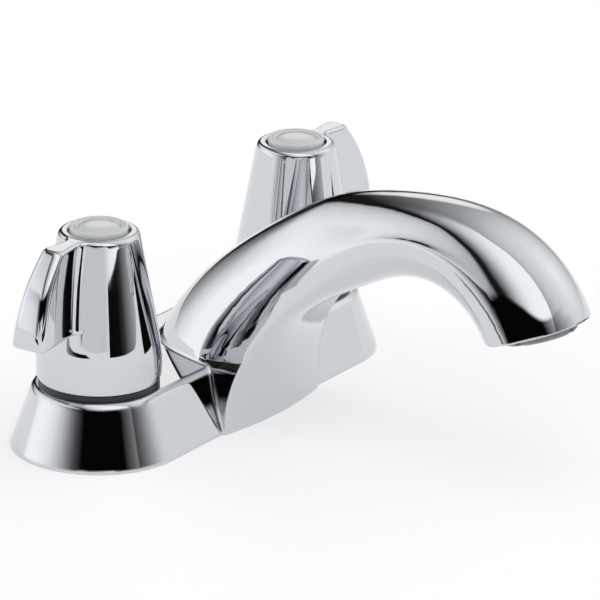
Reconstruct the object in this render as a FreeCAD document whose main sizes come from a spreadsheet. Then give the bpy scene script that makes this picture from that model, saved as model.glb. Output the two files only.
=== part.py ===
import FreeCAD, Part
import Sketcher
import math
import os

# Two-handle centerset basin tap: one cast deck cover and spout over a brass underbody.
# Frame: origin in the middle of the base on the deck, +X to the user's right,
# -Y towards the user along the spout, +Z up. Lengths are millimetres, angles degrees.

SIZES = {
    # deck cover
    "inlet_spacing": 101.6,
    "base_end_radius": 26.2,
    "base_height": 19.3,
    "base_draft_angle": 18.9,
    "base_edge_round": 2.2,
    "junction_round": 0.8,
    "cover_wall": 2.5,
    "cover_top_wall": 3.0,
    # deck gasket
    "gasket_thickness": 3.0,
    "gasket_side_gap": 1.4,
    # valve bodies and their shanks
    "flange_radius": 15.0,
    "flange_height": 2.0,
    "barrel_radius": 12.0,
    "barrel_shoulder": 1.3,
    "barrel_rise": 6.7,
    "chamber_radius": 8.0,
    "chamber_floor": 6.0,
    "spigot_radius": 11.6,
    "spigot_drop": 0.3,
    "neck_radius": 11.0,
    "neck_drop": 14.0,
    "thread_radius": 10.47,
    "runout_radius": 9.6,
    "runout_length": 2.0,
    "inlet_thread_length": 18.5,
    "inlet_bore_radius": 6.0,
    "inlet_link_length": 11.8,
    "inlet_link_radius": 2.4,
    # mounting hardware below the deck
    "washer_thickness": 1.6,
    "washer_radius": 17.0,
    "nut_height": 8.0,
    "nut_across_corners": 33.0,
    # rubber seats and their springs
    "seat_offset": 3.4,
    "seat_radius": 3.9,
    "seat_port_radius": 2.0,
    "seat_height": 4.2,
    "spring_height": 4.6,
    "spring_wire": 0.9,
    "spring_turns": 3.0,
    "spring_bends": 12.0,
    "spring_wire_sides": 8.0,
    # stems
    "disc_thickness": 2.6,
    "disc_lift": 0.3,
    "stem_neck_radius": 5.0,
    "land_height": 8.4,
    "ring_wire": 1.6,
    "spline_radius": 4.2,
    "spline_depth": 0.5,
    "spline_count": 16,
    "spline_length": 13.0,
    "stem_top": 46.0,
    # bonnet nuts and the black rings under the handles
    "bonnet_height": 8.6,
    "bonnet_across_corners": 29.0,
    "bonnet_bevel": 1.2,
    "trim_ring_radius": 17.9,
    "trim_ring_bore": 15.4,
    "trim_ring_height": 1.7,
    # handles
    "handle_lift": 2.0,
    "handle_height": 45.0,
    "skirt_bow": 28.6,
    "skirt_lip_radius": 18.3,
    "skirt_height": 13.2,
    "skirt_belly_height": 5.0,
    "shoulder_radius": 17.7,
    "rim_radius": 12.1,
    "rim_round": 1.2,
    "handle_wall": 2.2,
    "handle_top_wall": 2.6,
    "boss_radius": 7.4,
    "boss_foot": 33.5,
    "cap_recess_depth": 3.2,
    "cap_recess_radius": 9.0,
    "screw_recess_radius": 4.6,
    "screw_recess_depth": 4.6,
    # blade of each handle
    "blade_foot_rise": 18.1,
    "blade_foot_reach": 35.6,
    "blade_foot_half": 5.9,
    "blade_belly_drop": 15.8,
    "blade_belly_reach": 33.2,
    "blade_shoulder_drop": 5.3,
    "blade_shoulder_reach": 27.0,
    "blade_crown_drop": 0.9,
    "blade_crown_reach": 23.0,
    "blade_top_half": 3.1,
    "blade_top_drop": 0.3,
    "blade_root_round": 6.0,
    # index caps and handle screws
    "cap_radius": 8.6,
    "cap_height": 5.0,
    "cap_crown": 0.8,
    "cap_shell": 1.6,
    "screw_head_radius": 3.4,
    "screw_head_height": 2.6,
    "screw_head_bevel": 1.0,
    "screw_radius": 1.9,
    "screw_length": 21.0,
    # feed tubes, tee and spout tube
    "feed_clearance": 1.0,
    "feed_radius": 3.7,
    "feed_bore": 3.0,
    "tee_radius": 8.0,
    "tee_arm_radius": 4.7,
    "tee_arm_reach": 13.0,
    "tee_top": 20.5,
    "spout_tube_radius": 4.6,
    "spout_tube_bore": 3.8,
    # aerator
    "outlet_bore_radius": 11.3,
    "outlet_bore_depth": 8.0,
    "outlet_chamber_radius": 6.5,
    "outlet_chamber_depth": 15.0,
    "aerator_stand": 2.6,
    "aerator_radius": 11.1,
    "aerator_bore": 9.2,
    "aerator_lip": 1.4,
    "aerator_bevel": 0.6,
    "aerator_hole_radius": 0.9,
    "aerator_hole_pitch": 2.6,
    "aerator_hole_rings": 2,
    "aerator_notch_width": 2.4,
    "aerator_notch_depth": 1.2,
    "aerator_washer_thickness": 1.5,
    # fits
    "slip": 0.3,
    "running": 0.05,
    "thread_gap": 0.1,
    # how far a cutting tool runs past the surface it opens
    "past": 1.0,
}

# The spout runs through nine flat sections. Each has a crease on both flanks, a half
# ellipse over it and a shallow arc under it: crease forward, crease height, tilt of the
# section, half width at the crease, height of the dome, depth of the belly.
STATIONS = [
    (27.2, 0.0, 0.0, 24.3, 44.0, 2.5),
    (28.0, 13.0, 8.0, 23.6, 40.0, 2.0),
    (33.0, 26.5, 22.0, 20.8, 33.5, 1.7),
    (43.8, 40.5, 40.0, 18.7, 26.5, 2.8),
    (59.0, 54.6, 64.0, 16.6, 20.7, 7.0),
    (76.0, 64.0, 92.0, 15.8, 14.7, 10.1),
    (96.0, 63.0, 120.0, 17.0, 16.1, 11.0),
    (110.5, 51.7, 147.0, 18.7, 19.2, 10.0),
    (115.0, 45.9, 163.0, 19.4, 18.6, 10.8),
]
STATION_FIELDS = ("forward", "height", "tilt", "half", "dome", "belly")
HOLLOW_STATIONS = 7

# Corners of the spout tube on the middle plane: forward of the inlets, height, bend radius.
TUBE_ROUTE = [
    (0.0, 15.0, 0.0),
    (0.0, 26.0, 12.0),
    (36.0, 51.0, 60.0),
    (76.0, 68.5, 45.0),
    (106.0, 63.5, 0.0),
]
ROUTE_FIELDS = ("forward", "height", "bend")


class Dim:
    """A length that knows its value and the sheet formula that gives it."""

    def __init__(self, value, formula):
        self.value = value
        self.formula = formula

    @staticmethod
    def of(item):
        if isinstance(item, Dim):
            return item
        return Dim(float(item), repr(float(item)))

    def __add__(self, other):
        other = Dim.of(other)
        return Dim(self.value + other.value, f"({self.formula} + {other.formula})")

    def __sub__(self, other):
        other = Dim.of(other)
        return Dim(self.value - other.value, f"({self.formula} - {other.formula})")

    def __mul__(self, other):
        other = Dim.of(other)
        return Dim(self.value * other.value, f"({self.formula} * {other.formula})")

    def __truediv__(self, other):
        other = Dim.of(other)
        return Dim(self.value / other.value, f"({self.formula} / {other.formula})")

    def __neg__(self):
        return Dim(-self.value, f"(0 - {self.formula})")

    __radd__ = __add__
    __rmul__ = __mul__

    def __rsub__(self, other):
        return Dim.of(other) - self


class Sheet:
    """The sheet of driving sizes, with each size as an attribute of its own name."""

    def __init__(self, doc, sizes):
        self.cells = doc.addObject("Spreadsheet::Sheet", "sizes")
        self.row = 0
        for name, value in sizes.items():
            self.write(name, value)

    def write(self, name, value):
        self.row += 1
        self.cells.set(f"A{self.row}", name)
        self.cells.set(f"B{self.row}", str(value))
        self.cells.setAlias(f"B{self.row}", name)
        setattr(self, name, Dim(float(value), f"sizes.{name}"))


doc = FreeCAD.newDocument("centerset_tap")
sheet = Sheet(doc, SIZES)
for number, station in enumerate(STATIONS):
    for field, value in zip(STATION_FIELDS, station):
        sheet.write(f"station{number}_{field}", value)
for number, corner in enumerate(TUBE_ROUTE):
    for field, value in zip(ROUTE_FIELDS, corner):
        sheet.write(f"route{number}_{field}", value)
doc.recompute()

ORIGIN = (-1, 1)
NODES = []


# Heights that several pieces share
gasket_top = sheet.gasket_thickness
cover_ceiling = sheet.base_height - sheet.cover_top_wall
flange_top = gasket_top + sheet.flange_height
barrel_top = sheet.base_height + sheet.barrel_rise
neck_foot = -sheet.neck_drop
washer_foot = neck_foot - sheet.washer_thickness
nut_foot = washer_foot - sheet.nut_height
runout_foot = nut_foot - sheet.runout_length
shank_foot = runout_foot - sheet.inlet_thread_length
handle_foot = sheet.base_height + sheet.handle_lift
handle_top = handle_foot + sheet.handle_height
recess_floor = handle_top - sheet.cap_recess_depth
screw_floor = recess_floor - sheet.screw_recess_depth
disc_foot = sheet.chamber_floor + sheet.disc_lift
disc_top = disc_foot + sheet.disc_thickness
land_top = barrel_top - sheet.slip
land_foot = land_top - sheet.land_height
half_spacing = sheet.inlet_spacing / 2
feed_foot = sheet.tee_radius - sheet.feed_radius / 2
feed_height = cover_ceiling - sheet.feed_clearance - sheet.feed_radius
blade_foot = handle_foot + sheet.blade_foot_rise
blade_top = handle_top - sheet.blade_top_drop


def plane(body, role):
    """Return the body's own origin plane with this role."""
    for feature in body.Origin.OriginFeatures:
        if feature.Role == role:
            return feature
    raise ValueError(role)


def new_sketch(body, name, role):
    """Add a sketch to the body on one of its own origin planes."""
    sketch = body.newObject("Sketcher::SketchObject", name)
    sketch.AttachmentSupport = [(plane(body, role), "")]
    sketch.MapMode = "FlatFace"
    return sketch


def bind(sketch, constraint, formula):
    """Bind the constraint to its sheet formula."""
    sketch.setExpression(f"Constraints[{constraint}]", formula)


def pin(sketch, geometry, end, x, y):
    """Hold one end of a sketch line at two sheet formulas."""
    for kind, size in (("DistanceX", x), ("DistanceY", y)):
        size = Dim.of(size)
        number = sketch.addConstraint(Sketcher.Constraint(kind, *ORIGIN, geometry, end, size.value))
        bind(sketch, number, size.formula)


def side_line(start, end, bow):
    """Return the straight side between two corners, or an arc of radius bow that swells
    to the right of the way from start to end."""
    if bow is None:
        return Part.LineSegment(start, end)
    chord = end - start
    left = FreeCAD.Vector(-chord.y, chord.x, 0).normalize()
    centre = (start + end) / 2 + left * math.sqrt(bow * bow - chord.Length * chord.Length / 4)
    return Part.ArcOfCircle(Part.Circle(centre, FreeCAD.Vector(0, 0, 1), bow),
                            math.atan2(start.y - centre.y, start.x - centre.x),
                            math.atan2(end.y - centre.y, end.x - centre.x))


def polygon(sketch, corners):
    """Draw a closed outline whose corners are all held by the sheet. A corner with a
    third value starts an arc of that radius, drawn anticlockwise to the next corner."""
    corners = [[Dim.of(size) for size in corner] for corner in corners]
    points = [FreeCAD.Vector(corner[0].value, corner[1].value, 0) for corner in corners]
    count = len(points)
    for index, corner in enumerate(corners):
        bow = corner[2].value if len(corner) > 2 else None
        sketch.addGeometry(side_line(points[index], points[(index + 1) % count], bow), False)
    for index in range(count):
        sketch.addConstraint(Sketcher.Constraint("Coincident", index, 2, (index + 1) % count, 1))
    for index, corner in enumerate(corners):
        pin(sketch, index, 1, corner[0], corner[1])
        if len(corner) > 2:
            held = sketch.addConstraint(Sketcher.Constraint("Radius", index, corner[2].value))
            bind(sketch, held, corner[2].formula)


def circle(sketch, x, y, radius):
    """Draw a circle whose centre and radius are held by the sheet."""
    x, y, radius = Dim.of(x), Dim.of(y), Dim.of(radius)
    centre = FreeCAD.Vector(x.value, y.value, 0)
    number = sketch.addGeometry(Part.Circle(centre, FreeCAD.Vector(0, 0, 1), radius.value), False)
    pin(sketch, number, 3, x, y)
    held = sketch.addConstraint(Sketcher.Constraint("Radius", number, radius.value))
    bind(sketch, held, radius.formula)


def slot(sketch, half_length, radius):
    """Draw a slot of this end radius with its arc centres at plus and minus half_length."""
    up = FreeCAD.Vector(0, 0, 1)
    far = half_length.value
    size = radius.value
    quarter = math.pi / 2
    right = Part.ArcOfCircle(Part.Circle(FreeCAD.Vector(far, 0, 0), up, size), -quarter, quarter)
    left = Part.ArcOfCircle(Part.Circle(FreeCAD.Vector(-far, 0, 0), up, size), quarter, 3 * quarter)
    top = Part.LineSegment(FreeCAD.Vector(far, size, 0), FreeCAD.Vector(-far, size, 0))
    foot = Part.LineSegment(FreeCAD.Vector(-far, -size, 0), FreeCAD.Vector(far, -size, 0))
    for geometry in (right, top, left, foot):
        sketch.addGeometry(geometry, False)
    for first, end, second, start in ((0, 2, 1, 1), (1, 2, 2, 1), (2, 2, 3, 1), (3, 2, 0, 1)):
        sketch.addConstraint(Sketcher.Constraint("Tangent", first, end, second, start))
    pin(sketch, 0, 3, half_length, 0)
    pin(sketch, 2, 3, -half_length, 0)
    held = sketch.addConstraint(Sketcher.Constraint("Radius", 0, size))
    bind(sketch, held, radius.formula)


def turned(name, corners):
    """Make a body by revolving an outline of radius and height pairs about Z."""
    body = doc.addObject("PartDesign::Body", name)
    sketch = new_sketch(body, f"{name}_outline", "XZ_Plane")
    polygon(sketch, corners)
    turn = body.newObject("PartDesign::Revolution", f"{name}_turn")
    turn.Profile = sketch
    turn.ReferenceAxis = (sketch, ["V_Axis"])
    turn.Angle = 360.0
    sketch.Visibility = False
    return body


def padded(name, draw, length, taper=None):
    """Make a body by padding what draw() puts in a sketch on the XY plane."""
    body = doc.addObject("PartDesign::Body", name)
    sketch = new_sketch(body, f"{name}_outline", "XY_Plane")
    draw(sketch)
    pad = body.newObject("PartDesign::Pad", f"{name}_pad")
    pad.Profile = sketch
    pad.setExpression("Length", Dim.of(length).formula)
    if taper is not None:
        pad.setExpression("TaperAngle", (-taper).formula)
    return body


def rod(name, radius, height):
    """Make a cylinder that starts at the origin along Z."""
    bar = doc.addObject("Part::Cylinder", name)
    bar.setExpression("Radius", Dim.of(radius).formula)
    bar.setExpression("Height", Dim.of(height).formula)
    return bar


def cylinder(name, radius, height, foot=0.0, x=0.0, y=0.0):
    """Make a cylinder about a line along Z."""
    bar = rod(name, radius, height)
    move(bar, x, y, foot)
    return bar


def cylinder_x(name, radius, start, end, height):
    """Make a cylinder along X from start to end at this height."""
    bar = rod(name, radius, Dim.of(end) - Dim.of(start))
    bar.Placement = FreeCAD.Placement(FreeCAD.Vector(), FreeCAD.Rotation(FreeCAD.Vector(0, 1, 0), 90))
    move(bar, start, 0.0, height)
    return bar


def move(obj, x, y, z):
    """Bind the object's position to three sheet formulas."""
    for axis, size in (("x", x), ("y", y), ("z", z)):
        obj.setExpression(f".Placement.Base.{axis}", Dim.of(size).formula)


def fused(name, shapes):
    """Fuse shapes into one solid."""
    joined = doc.addObject("Part::MultiFuse", name)
    joined.Shapes = shapes
    joined.Refine = True
    return joined


def cut(name, base, tools):
    """Take the tools away from the base."""
    tool = tools[0]
    if len(tools) > 1:
        tool = doc.addObject("Part::MultiFuse", f"{name}_tools")
        tool.Shapes = tools
    result = doc.addObject("Part::Cut", name)
    result.Base = base
    result.Tool = tool
    result.Refine = True
    return result


def shaped(name, shape):
    """Hold a shape that code worked out from the sheet."""
    feature = doc.addObject("Part::Feature", name)
    feature.Shape = shape
    return feature


def node(obj, label):
    """Give a finished sub-part its label and list it for writing."""
    obj.Label = label
    NODES.append(obj)
    return obj


def on_side(obj, side):
    """Stand the piece on its own inlet; the cold one is turned to face the other way."""
    if side == "cold":
        obj.Placement = FreeCAD.Placement(FreeCAD.Vector(), FreeCAD.Rotation(180, 0, 0))
    sign = -1.0 if side == "hot" else 1.0
    move(obj, half_spacing * sign, 0.0, 0.0)
    return obj


# Spout form

def section_frame(number):
    """Return the section's crease centre, its dome direction and its six values."""
    values = [getattr(sheet, f"station{number}_{field}").value for field in STATION_FIELDS]
    forward, height, tilt, half, dome, belly = values
    angle = math.radians(tilt)
    centre = FreeCAD.Vector(0, -forward, height)
    rise = FreeCAD.Vector(0, math.cos(angle), math.sin(angle))
    return centre, rise, half, dome, belly


def section_wire(number, wall):
    """Return the section's closed wire, drawn in by the wall all round."""
    centre, rise, half, dome, belly = section_frame(number)
    across = FreeCAD.Vector(1, 0, 0)
    centre = centre + rise * wall
    half = half - wall
    dome = dome - 2 * wall
    steps = 8
    arch_points = []
    for step in range(steps + 1):
        angle = math.pi * step / steps
        arch_points.append(centre + across * (half * math.cos(angle)) + rise * (dome * math.sin(angle)))
    arch = Part.BSplineCurve()
    arch.interpolate(Points=arch_points, Parameters=[step / steps for step in range(steps + 1)],
                     InitialTangent=rise * dome * math.pi, FinalTangent=rise * -dome * math.pi)
    low = Part.Arc(arch_points[-1], centre - rise * belly, arch_points[0])
    return Part.Wire([arch.toShape(), low.toShape()])


def spout_form(name, wall, count):
    """Return the smooth solid through the first count sections."""
    wires = [section_wire(number, wall) for number in range(count)]
    return shaped(name, Part.makeLoft(wires, True, False))


def outlet_frame():
    """Return the outlet's centre and the direction up into the spout."""
    centre, rise, half, dome, belly = section_frame(len(STATIONS) - 1)
    middle = centre + rise * ((dome - belly) / 2)
    inward = FreeCAD.Vector(0, rise.z, -rise.y)
    return middle, inward


def at_outlet(obj, depth):
    """Stand the piece's own Z axis on the outlet axis, this far up inside the spout."""
    middle, inward = outlet_frame()
    turn = FreeCAD.Rotation(FreeCAD.Vector(0, 0, 1), inward)
    obj.Placement = FreeCAD.Placement(middle + inward * Dim.of(depth).value, turn)
    return obj


def route_wire(start, end):
    """Return the spout tube's line between two corners, with tangent arcs at the others."""
    corners = []
    for number in range(len(TUBE_ROUTE)):
        forward, height, bend = [getattr(sheet, f"route{number}_{field}").value for field in ROUTE_FIELDS]
        corners.append((FreeCAD.Vector(0, -forward, height), bend))
    edges = []
    last = corners[start][0]
    for number in range(start + 1, end):
        corner, bend = corners[number]
        back = (corners[number - 1][0] - corner).normalize()
        ahead = (corners[number + 1][0] - corner).normalize()
        half_angle = back.getAngle(ahead) / 2
        reach = bend / math.tan(half_angle)
        middle = (back + ahead).normalize()
        centre = corner + middle * (bend / math.sin(half_angle))
        enter = corner + back * reach
        leave = corner + ahead * reach
        edges.append(Part.LineSegment(last, enter).toShape())
        edges.append(Part.Arc(enter, centre - middle * bend, leave).toShape())
        last = leave
    edges.append(Part.LineSegment(last, corners[end][0]).toShape())
    return Part.Wire(edges)


def rod_along(wire, radius):
    """Sweep a round bar of this radius along a wire that starts straight up."""
    start = wire.Vertexes[0].Point
    ring = Part.Wire(Part.makeCircle(radius, start, FreeCAD.Vector(0, 0, 1)))
    return wire.makePipeShell([ring], True, False)


# Deck cover and spout

def skirt(name, radius, height):
    """Make a drafted slot-shaped block that spans both inlets."""
    return padded(name, lambda sketch: slot(sketch, half_spacing, radius), height, sheet.base_draft_angle)


def edges_at(shape, height):
    """Name the edges of the shape that lie flat at this height."""
    names = []
    for index, edge in enumerate(shape.Edges):
        box = edge.BoundBox
        if abs(box.ZMin - height) < 1e-4 and abs(box.ZMax - height) < 1e-4:
            names.append(f"Edge{index + 1}")
    return names


def edges_shared(whole, parts):
    """List the numbers of the whole's edges that run where the joined parts meet."""
    numbers = []
    for index, edge in enumerate(whole.Edges):
        place = (edge.FirstParameter + edge.LastParameter) / 2
        middle = Part.Vertex(edge.valueAt(place))
        if all(min(middle.distToShape(face)[0] for face in part.Faces) < 1e-4 for part in parts):
            numbers.append(index + 1)
    return numbers


def make_cover():
    block = skirt("cover_block", sheet.base_end_radius, sheet.base_height)
    doc.recompute()
    pad = block.Tip
    rounding = block.newObject("PartDesign::Fillet", "cover_edge_round")
    rounding.Base = (pad, edges_at(pad.Shape, sheet.base_height.value))
    rounding.setExpression("Radius", sheet.base_edge_round.formula)
    spout = spout_form("spout_outside", 0.0, len(STATIONS))
    joined = fused("cover_joined", [block, spout])
    doc.recompute()
    outside = doc.addObject("Part::Fillet", "cover_outside")
    outside.Base = joined
    corner = sheet.junction_round.value
    shared = edges_shared(joined.Shape, [block.Shape, spout.Shape])
    outside.Edges = [(number, corner, corner) for number in shared]
    hollow = skirt("cover_hollow", sheet.base_end_radius - sheet.cover_wall, cover_ceiling)
    core = spout_form("spout_core", sheet.cover_wall.value, HOLLOW_STATIONS)
    tools = [hollow, core]
    for side, sign in (("hot", -1.0), ("cold", 1.0)):
        hole = cylinder(f"cover_{side}_hole", sheet.barrel_radius + sheet.slip, sheet.base_height,
                        sheet.base_height / 2, half_spacing * sign)
        tools.append(hole)
    outlet = rod("outlet_bore", sheet.outlet_bore_radius, sheet.outlet_bore_depth + sheet.cover_wall)
    tools.append(at_outlet(outlet, -sheet.cover_wall))
    chamber = rod("outlet_chamber", sheet.outlet_chamber_radius, sheet.outlet_chamber_depth)
    tools.append(at_outlet(chamber, 0.0))
    dome = doc.addObject("Part::Sphere", "outlet_chamber_end")
    dome.setExpression("Radius", sheet.outlet_chamber_radius.formula)
    tools.append(at_outlet(dome, sheet.outlet_chamber_depth))
    last = len(TUBE_ROUTE) - 1
    ahead = corner_point(last) - corner_point(last - 1)
    socket = Part.makeCylinder(sheet.spout_tube_radius.value + sheet.thread_gap.value,
                               ahead.Length / 2 + sheet.outlet_chamber_radius.value,
                               corner_point(last) - ahead / 2, ahead)
    tools.append(shaped("spout_tube_socket", socket))
    return node(cut("spout_cover", outside, tools), "spout_body")


def corner_point(number):
    """Return one corner of the spout tube's route."""
    forward = getattr(sheet, f"route{number}_forward").value
    height = getattr(sheet, f"route{number}_height").value
    return FreeCAD.Vector(0, -forward, height)


def make_gasket():
    side = sheet.cover_wall + sheet.gasket_side_gap

    def draw(sketch):
        slot(sketch, half_spacing, sheet.base_end_radius - side)
        circle(sketch, half_spacing, 0, sheet.spigot_radius + sheet.slip)
        circle(sketch, -half_spacing, 0, sheet.spigot_radius + sheet.slip)

    return node(padded("gasket", draw, sheet.gasket_thickness), "deck_gasket")


# Valve, one on each inlet

def make_valve_body(side):
    corners = [
        (0, shank_foot),
        (sheet.thread_radius, shank_foot),
        (sheet.thread_radius, runout_foot),
        (sheet.runout_radius, runout_foot),
        (sheet.runout_radius, nut_foot),
        (sheet.thread_radius, nut_foot),
        (sheet.thread_radius, neck_foot),
        (sheet.neck_radius, neck_foot),
        (sheet.neck_radius, -sheet.spigot_drop),
        (sheet.spigot_radius, -sheet.spigot_drop),
        (sheet.spigot_radius, gasket_top),
        (sheet.flange_radius, gasket_top),
        (sheet.flange_radius, flange_top),
        (sheet.barrel_radius + sheet.barrel_shoulder, flange_top),
        (sheet.barrel_radius + sheet.barrel_shoulder, cover_ceiling),
        (sheet.barrel_radius, cover_ceiling),
        (sheet.barrel_radius, barrel_top),
        (0, barrel_top),
    ]
    blank = turned(f"{side}_valve_blank", corners)
    seat_foot = sheet.chamber_floor - sheet.seat_height - sheet.spring_height
    chamber = cylinder(f"{side}_chamber", sheet.chamber_radius + sheet.running,
                       barrel_top - sheet.chamber_floor + sheet.past, sheet.chamber_floor)
    pocket = cylinder(f"{side}_seat_pocket", sheet.seat_radius + sheet.thread_gap,
                      sheet.seat_height + sheet.spring_height + sheet.past, seat_foot, sheet.seat_offset)
    inlet = cylinder(f"{side}_inlet_bore", sheet.inlet_bore_radius,
                     seat_foot - shank_foot - sheet.inlet_link_length, shank_foot)
    link = cylinder(f"{side}_inlet_link", sheet.inlet_link_radius,
                    sheet.inlet_link_length + sheet.past * 2,
                    seat_foot - sheet.inlet_link_length - sheet.past, sheet.seat_offset)
    port = cylinder_x(f"{side}_feed_port", sheet.feed_radius + sheet.thread_gap, 0.0,
                      sheet.flange_radius, feed_height)
    body = cut(f"{side}_valve", blank, [chamber, pocket, inlet, link, port])
    return node(on_side(body, side), f"{side}_valve_body")


def make_seat(side):
    foot = sheet.chamber_floor - sheet.seat_height
    corners = [
        (sheet.seat_port_radius, foot),
        (sheet.seat_radius, foot),
        (sheet.seat_radius, sheet.chamber_floor - sheet.slip),
        (sheet.seat_radius - sheet.slip, sheet.chamber_floor),
        (sheet.seat_port_radius, sheet.chamber_floor),
    ]
    ring = turned(f"{side}_seat_ring", corners)
    return node(offset_piece(ring, side), f"{side}_valve_seat")


def offset_piece(obj, side):
    """Stand a piece in its seat pocket, towards the middle of the tap."""
    sign = -1.0 if side == "hot" else 1.0
    move(obj, half_spacing * sign - sheet.seat_offset * sign, 0.0, 0.0)
    return obj


def make_spring(side):
    """Coil the wire in short straight bends, which keeps a hidden spring light."""
    coil_radius = sheet.seat_radius.value - sheet.spring_wire.value / 2 - sheet.running.value
    rise = sheet.spring_height.value - sheet.spring_wire.value - 2 * sheet.running.value
    bend = 2 * math.pi / sheet.spring_bends.value
    steps = int(sheet.spring_turns.value * sheet.spring_bends.value)
    route = [FreeCAD.Vector(coil_radius * math.cos(bend * step), coil_radius * math.sin(bend * step),
                            rise * step / steps) for step in range(steps + 1)]
    along = (route[1] - route[0]).normalize()
    out = FreeCAD.Vector(1, 0, 0)
    out = (out - along * out.dot(along)).normalize()
    up = along.cross(out)
    sides = int(sheet.spring_wire_sides.value)
    radius = sheet.spring_wire.value / 2
    ring = []
    for side_number in range(sides + 1):
        angle = 2 * math.pi * side_number / sides
        ring.append(route[0] + out * (radius * math.cos(angle)) + up * (radius * math.sin(angle)))
    mitred = 1
    coil = Part.makePolygon(route).makePipeShell([Part.makePolygon(ring)], True, False, mitred)
    foot = sheet.chamber_floor - sheet.seat_height - sheet.spring_height
    sign = -1.0 if side == "hot" else 1.0
    spring = shaped(f"{side}_spring", coil)
    move(spring, half_spacing * sign - sheet.seat_offset * sign, 0.0,
         foot + sheet.spring_wire / 2 + sheet.running)
    return node(spring, f"{side}_seat_spring")


def make_stem(side):
    ring_half = sheet.ring_wire / 2 + sheet.running
    ring_middle = land_top - sheet.land_height / 2
    groove = sheet.chamber_radius - sheet.ring_wire
    corners = [
        (0, disc_foot),
        (sheet.chamber_radius, disc_foot),
        (sheet.chamber_radius, disc_top),
        (sheet.stem_neck_radius, disc_top),
        (sheet.stem_neck_radius, land_foot),
        (sheet.chamber_radius, land_foot),
        (sheet.chamber_radius, ring_middle - ring_half),
        (groove, ring_middle - ring_half),
        (groove, ring_middle + ring_half),
        (sheet.chamber_radius, ring_middle + ring_half),
        (sheet.chamber_radius, land_top),
        (sheet.stem_neck_radius, land_top),
        (sheet.stem_neck_radius, sheet.boss_foot),
        (sheet.spline_radius, sheet.boss_foot),
        (sheet.spline_radius, sheet.stem_top),
        (0, sheet.stem_top),
    ]
    body = turned(f"{side}_stem_turning", corners)
    doc.recompute()
    root = sheet.spline_radius - sheet.spline_depth
    sketch = new_sketch(body, f"{side}_spline_gap", "XY_Plane")
    half_gap = sheet.spline_radius / sheet.spline_count
    polygon(sketch, [
        (root, -half_gap / 2),
        (sheet.spline_radius + sheet.slip, -half_gap),
        (sheet.spline_radius + sheet.slip, half_gap),
        (root, half_gap / 2),
    ])
    gap_foot = sheet.stem_top - sheet.spline_length + sheet.past
    sketch.setExpression(".AttachmentOffset.Base.z", gap_foot.formula)
    gap = body.newObject("PartDesign::Pocket", f"{side}_spline_cut")
    gap.Profile = sketch
    gap.Reversed = True
    gap.setExpression("Length", sheet.spline_length.formula)
    ring = body.newObject("PartDesign::PolarPattern", f"{side}_splines")
    ring.Originals = [gap]
    ring.Axis = (sketch, ["N_Axis"])
    ring.Angle = 360.0
    ring.setExpression("Occurrences", sheet.spline_count.formula)
    body.Tip = ring
    tapped = cylinder(f"{side}_stem_tap", sheet.screw_radius + sheet.thread_gap,
                      sheet.screw_length, screw_floor - sheet.screw_length)
    # a quarter turn of the handle brings this port over the seat
    opens = -1.0 if side == "hot" else 1.0
    port = cylinder(f"{side}_disc_port", sheet.seat_port_radius, sheet.disc_thickness + sheet.past,
                    disc_foot - sheet.past / 2, 0.0, sheet.seat_offset * opens)
    drilled = cut(f"{side}_stem_drilled", body, [tapped, port])
    return node(on_side(drilled, side), f"{side}_stem")


def make_stem_ring(side):
    ring = doc.addObject("Part::Torus", f"{side}_ring")
    ring.setExpression("Radius1", (sheet.chamber_radius - sheet.ring_wire / 2).formula)
    ring.setExpression("Radius2", (sheet.ring_wire / 2 - sheet.running / 2).formula)
    sign = -1.0 if side == "hot" else 1.0
    move(ring, half_spacing * sign, 0.0, land_top - sheet.land_height / 2)
    return node(ring, f"{side}_stem_oring")


def hexagon(sketch, across_corners):
    """Draw a hexagon with a corner on the X axis."""
    radius = across_corners / 2
    turns = [(math.cos(math.radians(60 * step)), math.sin(math.radians(60 * step))) for step in range(6)]
    polygon(sketch, [(radius * round(x, 6), radius * round(y, 6)) for x, y in turns])


def make_bonnet_nut(side):
    foot = sheet.base_height
    blank = padded(f"{side}_bonnet_blank", lambda sketch: hexagon(sketch, sheet.bonnet_across_corners),
                   sheet.bonnet_height)
    move(blank, 0.0, 0.0, foot)
    thread = cylinder(f"{side}_bonnet_thread", sheet.barrel_radius + sheet.thread_gap,
                      sheet.barrel_rise, foot)
    hole = cylinder(f"{side}_bonnet_hole", sheet.stem_neck_radius + sheet.running,
                    sheet.bonnet_height, foot)
    top = sheet.bonnet_across_corners / 2
    bevel = turned(f"{side}_bonnet_bevel", [
        (0, foot), (top, foot), (top, foot + sheet.bonnet_height - sheet.bonnet_bevel),
        (top - sheet.bonnet_bevel, foot + sheet.bonnet_height), (0, foot + sheet.bonnet_height)])
    common = doc.addObject("Part::Common", f"{side}_bonnet_form")
    common.Base = blank
    common.Tool = bevel
    return node(on_side(cut(f"{side}_bonnet", common, [thread, hole]), side), f"{side}_bonnet_nut")


def make_trim_ring(side):
    foot = sheet.base_height
    top = foot + sheet.trim_ring_height
    ring = turned(f"{side}_glide", [
        (sheet.trim_ring_bore, foot), (sheet.trim_ring_radius, foot),
        (sheet.trim_ring_radius, top), (sheet.trim_ring_bore, top)])
    return node(on_side(ring, side), f"{side}_trim_ring")


def make_washer(side):
    ring = turned(f"{side}_washer", [
        (sheet.thread_radius + sheet.slip, washer_foot), (sheet.washer_radius, washer_foot),
        (sheet.washer_radius, neck_foot), (sheet.thread_radius + sheet.slip, neck_foot)])
    return node(on_side(ring, side), f"{side}_mounting_washer")


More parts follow.
